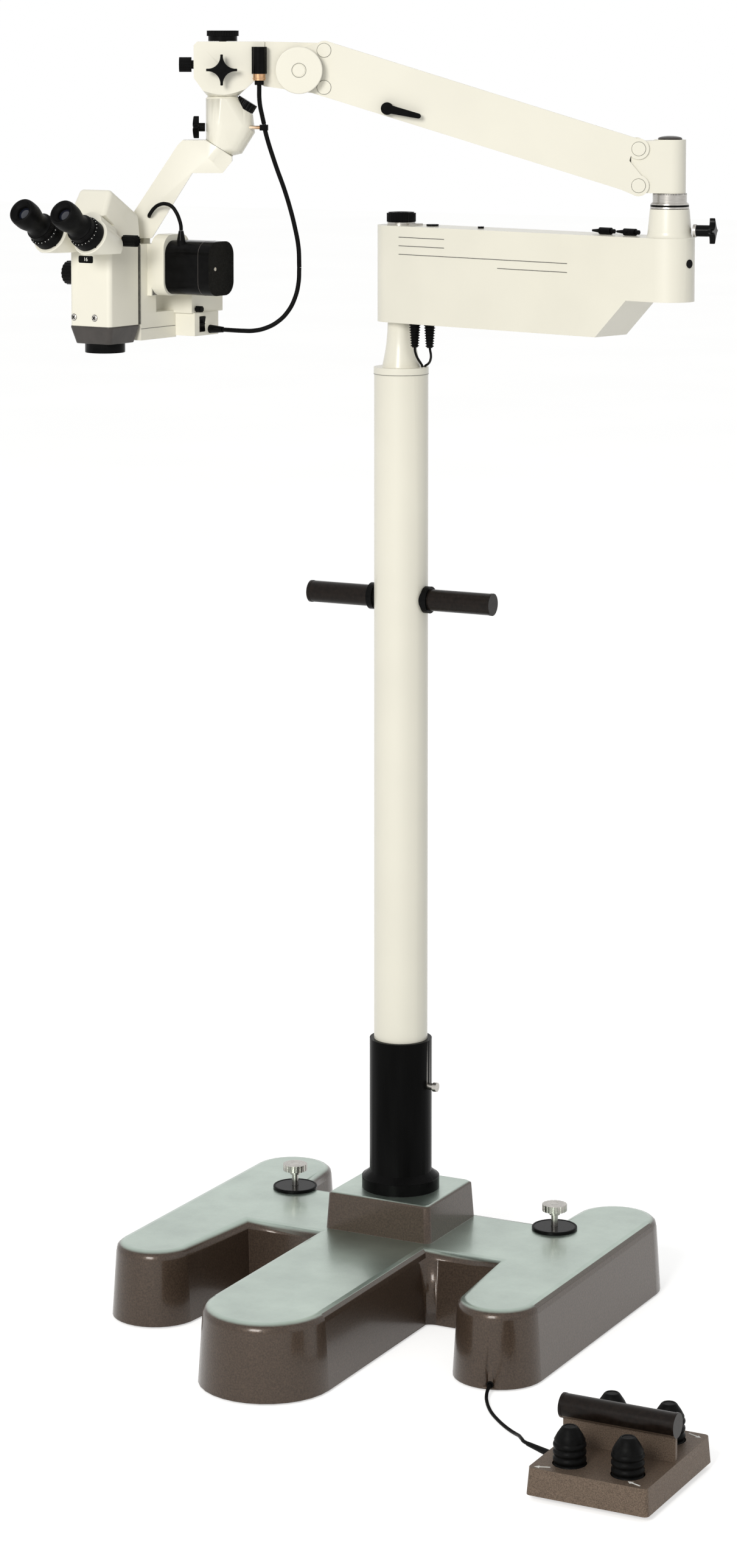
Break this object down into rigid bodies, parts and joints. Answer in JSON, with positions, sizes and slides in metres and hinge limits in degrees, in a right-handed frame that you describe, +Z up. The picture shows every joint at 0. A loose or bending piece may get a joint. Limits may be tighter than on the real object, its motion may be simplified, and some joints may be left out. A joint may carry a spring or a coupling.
{
  "type": "surgical microscope",
  "caption": "Floor-standing surgical microscope with a lobed base, column, swing arm, parallelogram arm, inclined binocular head and a foot switch",
  "frame": {"origin": "on the column's axis at the floor, at the underside of the pad below the column", "axes": "+Z is up; -Y is the front of the base, the way its centre lobe points; +X is to the base's right, where the foot switch lies"},
  "size_m": [1.023, 0.9298, 1.8953],
  "materials": {
    "base_paint": "hammered, slightly glossy",
    "cream_paint": "satin enamel",
    "black_plastic": "satin moulded",
    "black_rubber": "matte",
    "bright_steel": "turned",
    "dark_grip": "ribbed, dull",
    "brass_metal": "machined",
    "optic_glass": "coated",
    "tube_black": "satin black"
  },
  "bodies": {
    "stand": {"base_casting": "base_paint", "floor_pads": "black_rubber", "jack_bushes": "black_plastic", "column_sleeve": "tube_black", "column_tube": "cream_paint", "column_head": "cream_paint", "grip_bar": "dark_grip", "pedal_housing": "base_paint", "cord_glands": "black_rubber", "pedal_cord": "black_rubber"},
    "jack_left": {"jack_screw_left": "bright_steel"},
    "jack_right": {"jack_screw_right": "bright_steel"},
    "pedal_front_left": {"pedal_button_front_left": "black_rubber"},
    "pedal_front_right": {"pedal_button_front_right": "black_rubber"},
    "pedal_back_left": {"pedal_button_back_left": "black_rubber"},
    "pedal_back_right": {"pedal_button_back_right": "black_rubber"},
    "swing_arm": {"box_housing": "cream_paint", "swing_bushes": "brass_metal", "transformer": "bright_steel", "box_fittings": "black_plastic", "swing_cables": "black_rubber", "yoke_socket": "cream_paint"},
    "brake": {"brake_knob": "black_plastic"},
    "socket_lock": {"socket_knob": "black_plastic"},
    "yoke": {"yoke_spindle": "bright_steel", "yoke_post": "cream_paint"},
    "arm": {"arm_cover": "cream_paint", "pivot_pins": "cream_paint", "balance_spring": "bright_steel"},
    "clamp": {"clamp_lever": "black_plastic"},
    "balance": {"balance_dial": "cream_paint"},
    "tie": {"tie_rod": "bright_steel"},
    "head": {"head_block": "cream_paint", "light_connector": "black_plastic", "light_cable_upper": "black_rubber"},
    "head_top": {"head_top_knob": "black_plastic"},
    "head_side": {"head_side_knob": "black_plastic"},
    "head_star": {"head_star_knob": "black_plastic"},
    "coupler": {"coupler_body": "cream_paint", "light_cable_middle": "black_rubber"},
    "coupler_lock": {"coupler_star": "black_plastic"},
    "tilt_lock": {"tilt_knob": "black_plastic"},
    "bracket": {"bracket_arm": "cream_paint", "light_cable_lower": "black_rubber", "motor_lead": "black_rubber"},
    "scope": {"scope_body": "cream_paint", "scope_skirt": "black_plastic", "objective_lens": "optic_glass", "tube_head": "cream_paint", "focus_carriage": "cream_paint", "focus_motor": "black_plastic", "illuminator": "cream_paint"},
    "magnification": {"magnification_knob": "black_plastic"},
    "tube_lock": {"tube_lock_knob": "black_plastic"},
    "lamp_switch": {"rocker_switch": "black_plastic"},
    "lamp_dim": {"lamp_knob": "black_plastic"},
    "prism_left_body": {"prism_left": "cream_paint"},
    "prism_right_body": {"prism_right": "cream_paint"},
    "eye_left": {"eyepiece_left": "black_plastic"},
    "eye_right": {"eyepiece_right": "black_plastic"}
  },
  "joints": [
    {"name": "jack_left_travel", "type": "slide", "parent": "stand", "child": "jack_left", "axis": [0, 0, 1], "range_m": [-0.006, 0.005]},
    {"name": "jack_right_travel", "type": "slide", "parent": "stand", "child": "jack_right", "axis": [0, 0, 1], "range_m": [-0.006, 0.005]},
    {"name": "pedal_front_left_press", "type": "slide", "parent": "stand", "child": "pedal_front_left", "axis": [0, 0, 1], "range_m": [-0.006, 0], "stiffness_N_per_m": 1200},
    {"name": "pedal_front_right_press", "type": "slide", "parent": "stand", "child": "pedal_front_right", "axis": [0, 0, 1], "range_m": [-0.006, 0], "stiffness_N_per_m": 1200},
    {"name": "pedal_back_left_press", "type": "slide", "parent": "stand", "child": "pedal_back_left", "axis": [0, 0, 1], "range_m": [-0.006, 0], "stiffness_N_per_m": 1200},
    {"name": "pedal_back_right_press", "type": "slide", "parent": "stand", "child": "pedal_back_right", "axis": [0, 0, 1], "range_m": [-0.006, 0], "stiffness_N_per_m": 1200},
    {"name": "box_swing", "type": "hinge", "parent": "stand", "child": "swing_arm", "pos_m": [0, 0, 1.4685], "axis": [0, 0, 1], "range_deg": [-90, 90]},
    {"name": "brake_turn", "type": "hinge", "parent": "swing_arm", "child": "brake", "pos_m": [0, 0, 1.6105], "axis": [0, 0, 1], "range_deg": [-60, 60]},
    {"name": "socket_lock_turn", "type": "hinge", "parent": "swing_arm", "child": "socket_lock", "pos_m": [0.484, -0.13696, 1.6205], "axis": [0.9871, 0.1599, 0], "range_deg": [-90, 90]},
    {"name": "yoke_turn", "type": "hinge", "parent": "swing_arm", "child": "yoke", "pos_m": [0.484, -0.13696, 1.65], "axis": [0, 0, 1], "range_deg": [-10, 150]},
    {"name": "arm_lift", "type": "hinge", "parent": "yoke", "child": "arm", "pos_m": [0.44401, -0.1576, 1.7336], "axis": [-0.4587, 0.8886, 0], "range_deg": [-45, 12]},
    {"name": "tie_follow", "type": "hinge", "parent": "yoke", "child": "tie", "pos_m": [0.44401, -0.1576, 1.683], "axis": [-0.4587, 0.8886, 0], "range_deg": [-45, 12]},
    {"name": "head_level", "type": "hinge", "parent": "arm", "child": "head", "pos_m": [0.06061, -0.35548, 1.86831], "axis": [-0.4587, 0.8886, 0], "range_deg": [-12, 45]},
    {"name": "clamp_lever_turn", "type": "hinge", "parent": "arm", "child": "clamp", "pos_m": [0.14874, -0.33813, 1.78899], "axis": [0.4587, -0.8886, 0], "range_deg": [-40, 40]},
    {"name": "balance_turn", "type": "hinge", "parent": "arm", "child": "balance", "pos_m": [0.04184, -0.3933, 1.84122], "axis": [0.4587, -0.8886, 0], "range_deg": [-160, 160]},
    {"name": "head_top_turn", "type": "hinge", "parent": "head", "child": "head_top", "pos_m": [-0.06335, -0.41947, 1.88031], "axis": [0, 0, 1], "range_deg": [-90, 90]},
    {"name": "head_side_turn", "type": "hinge", "parent": "head", "child": "head_side", "pos_m": [-0.09801, -0.43735, 1.84872], "axis": [-0.8886, -0.4587, 0], "range_deg": [-120, 120]},
    {"name": "head_star_turn", "type": "hinge", "parent": "head", "child": "head_star", "pos_m": [-0.05189, -0.44168, 1.84171], "axis": [0.4587, -0.8886, 0], "range_deg": [-90, 90]},
    {"name": "scope_swivel", "type": "hinge", "parent": "head", "child": "coupler", "pos_m": [-0.06335, -0.41947, 1.80571], "axis": [0, 0, 1], "range_deg": [-120, 120]},
    {"name": "coupler_star_turn", "type": "hinge", "parent": "coupler", "child": "coupler_lock", "pos_m": [-0.08424, -0.43024, 1.76272], "axis": [-0.8886, -0.4587, 0], "range_deg": [-90, 90]},
    {"name": "tilt_lock_turn", "type": "hinge", "parent": "coupler", "child": "tilt_lock", "pos_m": [-0.03816, -0.40646, 1.78808], "axis": [0.4709, 0.243, 0.848], "range_deg": [-90, 90]},
    {"name": "scope_tilt", "type": "hinge", "parent": "coupler", "child": "bracket", "pos_m": [-0.06335, -0.41947, 1.74272], "axis": [0.4709, 0.243, 0.848], "range_deg": [-20, 20]},
    {"name": "focus_travel", "type": "slide", "parent": "bracket", "child": "scope", "axis": [0, 0, 1], "range_m": [-0.03, 0]},
    {"name": "magnification_turn", "type": "hinge", "parent": "scope", "child": "magnification", "pos_m": [-0.21446, -0.53887, 1.56371], "axis": [-0.9932, 0.1167, 0], "range_deg": [-72, 72]},
    {"name": "tube_lock_turn", "type": "hinge", "parent": "scope", "child": "tube_lock", "pos_m": [-0.1471, -0.56541, 1.61172], "axis": [0.9932, -0.1167, 0], "range_deg": [-90, 90]},
    {"name": "lamp_switch_rock", "type": "hinge", "parent": "scope", "child": "lamp_switch", "pos_m": [-0.09875, -0.41956, 1.48971], "axis": [0.1167, 0.9932, 0], "range_deg": [-7, 7]},
    {"name": "lamp_dim_turn", "type": "hinge", "parent": "scope", "child": "lamp_dim", "pos_m": [-0.10015, -0.43148, 1.51121], "axis": [0.9932, -0.1167, 0], "range_deg": [-135, 135]},
    {"name": "eye_gap_left", "type": "hinge", "parent": "scope", "child": "prism_left_body", "pos_m": [-0.20658, -0.57034, 1.61449], "axis": [-0.101, -0.8601, 0.5], "range_deg": [-10, 10]},
    {"name": "eye_gap_right", "type": "hinge", "parent": "scope", "child": "prism_right_body", "pos_m": [-0.1599, -0.57583, 1.61449], "axis": [-0.101, -0.8601, 0.5], "range_deg": [-10, 10]},
    {"name": "focus_eye_left", "type": "hinge", "parent": "prism_left_body", "child": "eye_left", "pos_m": [-0.22167, -0.60448, 1.61372], "axis": [-0.101, -0.8601, 0.5], "range_deg": [-120, 120]},
    {"name": "focus_eye_right", "type": "hinge", "parent": "prism_right_body", "child": "eye_right", "pos_m": [-0.15314, -0.61253, 1.61372], "axis": [-0.101, -0.8601, 0.5], "range_deg": [-120, 120]}
  ],
  "couplings": [
    {"joint": "head_level", "follows": "arm_lift", "ratio": -1},
    {"joint": "tie_follow", "follows": "arm_lift", "ratio": 1},
    {"joint": "eye_gap_right", "follows": "eye_gap_left", "ratio": -1}
  ]
}
